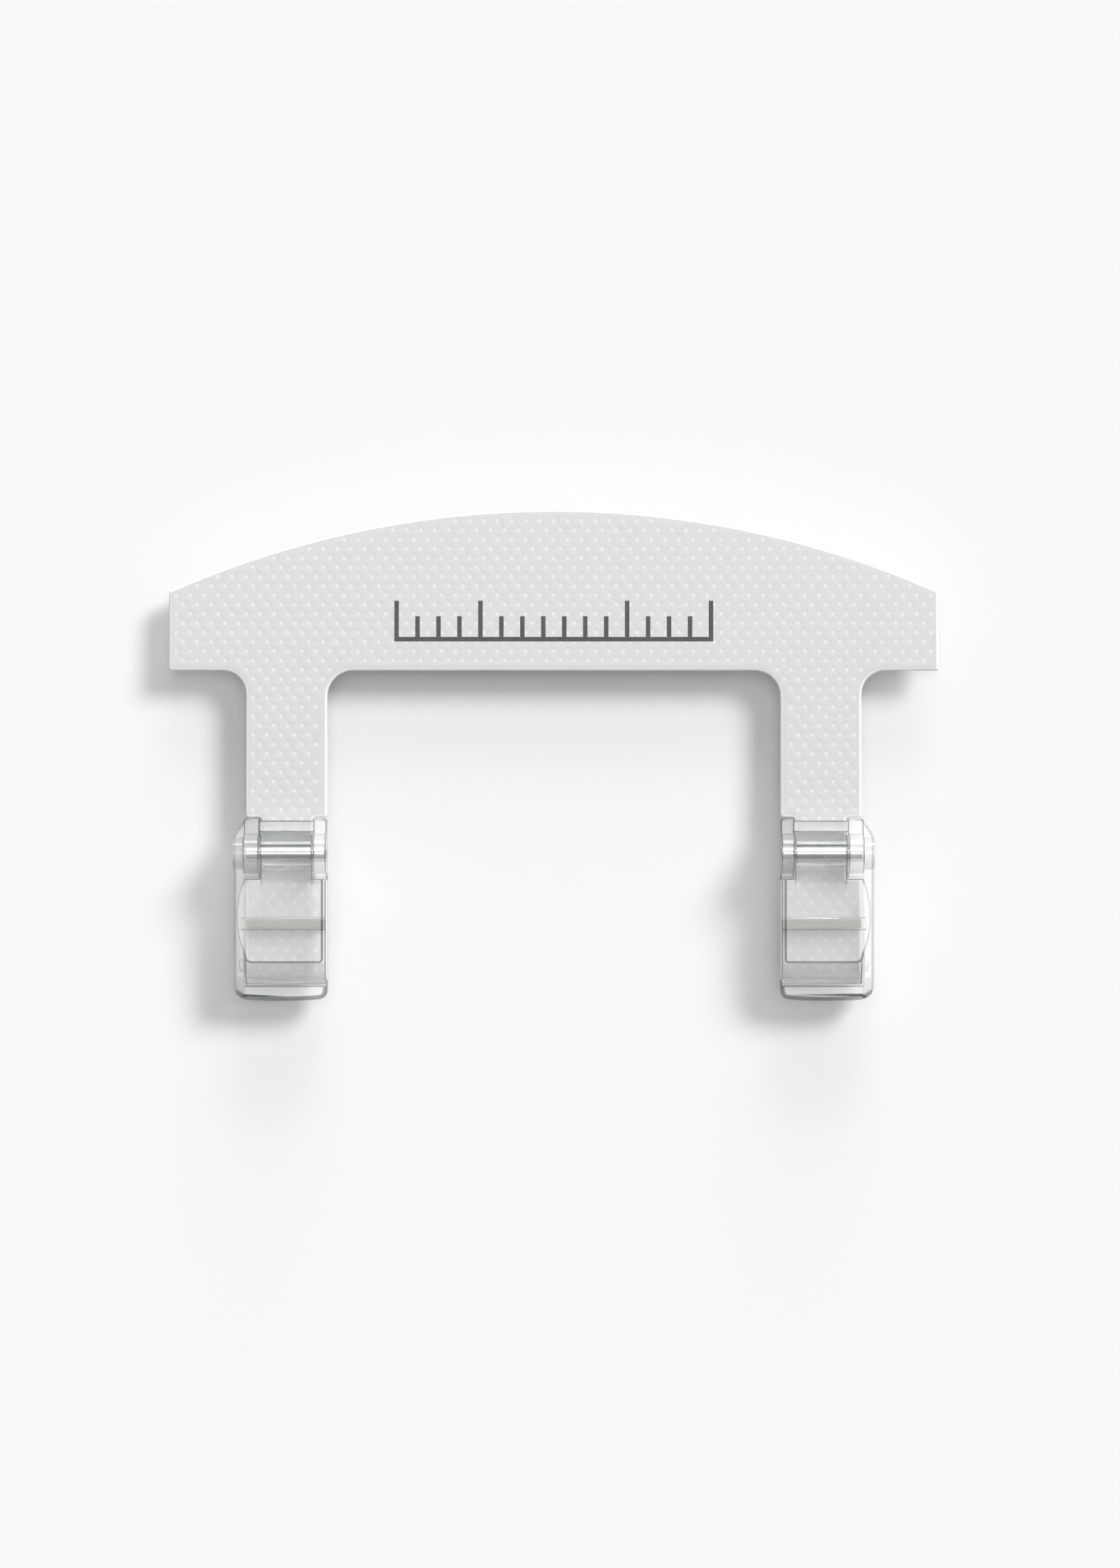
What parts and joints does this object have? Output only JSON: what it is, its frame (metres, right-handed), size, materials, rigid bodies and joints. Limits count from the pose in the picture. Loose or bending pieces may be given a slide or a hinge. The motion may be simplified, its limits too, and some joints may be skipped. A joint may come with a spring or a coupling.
{
  "type": "highlighting cap",
  "caption": "Clear silicone crescent for pulling strands of hair through, worn along a parting and held at each end of it by a hinged hair clip.",
  "frame": {"origin": "on the surface it lies on, in the middle of its width and length", "axes": "+X across the head from the left clip to the right clip, +Y from the clips to the crown edge, +Z away from the scalp"},
  "size_m": [0.2234, 0.1428, 0.0169],
  "materials": {
    "clear_silicone": "translucent satin silicone with a grid of small tapered holes",
    "clear_plastic": "clear polished polycarbonate",
    "grip_silicone": "soft matte silicone",
    "pin_steel": "bright drawn stainless wire"
  },
  "bodies": {
    "cap": {"cap_sheet": "clear_silicone", "left_clip_base": "clear_plastic", "left_hinge_pin": "pin_steel", "right_clip_base": "clear_plastic", "right_hinge_pin": "pin_steel"},
    "left_jaw": {"left_clip_jaw": "clear_plastic", "left_grip_bar": "grip_silicone"},
    "right_jaw": {"right_clip_jaw": "clear_plastic", "right_grip_bar": "grip_silicone"}
  },
  "joints": [
    {"name": "left_jaw_hinge", "type": "hinge", "parent": "cap", "child": "left_jaw", "pos_m": [-0.0773, -0.0285, 0.0106], "axis": [-1, 0, 0], "range_deg": [0, 78]},
    {"name": "right_jaw_hinge", "type": "hinge", "parent": "cap", "child": "right_jaw", "pos_m": [0.0773, -0.0285, 0.0106], "axis": [-1, 0, 0], "range_deg": [0, 78]}
  ]
}
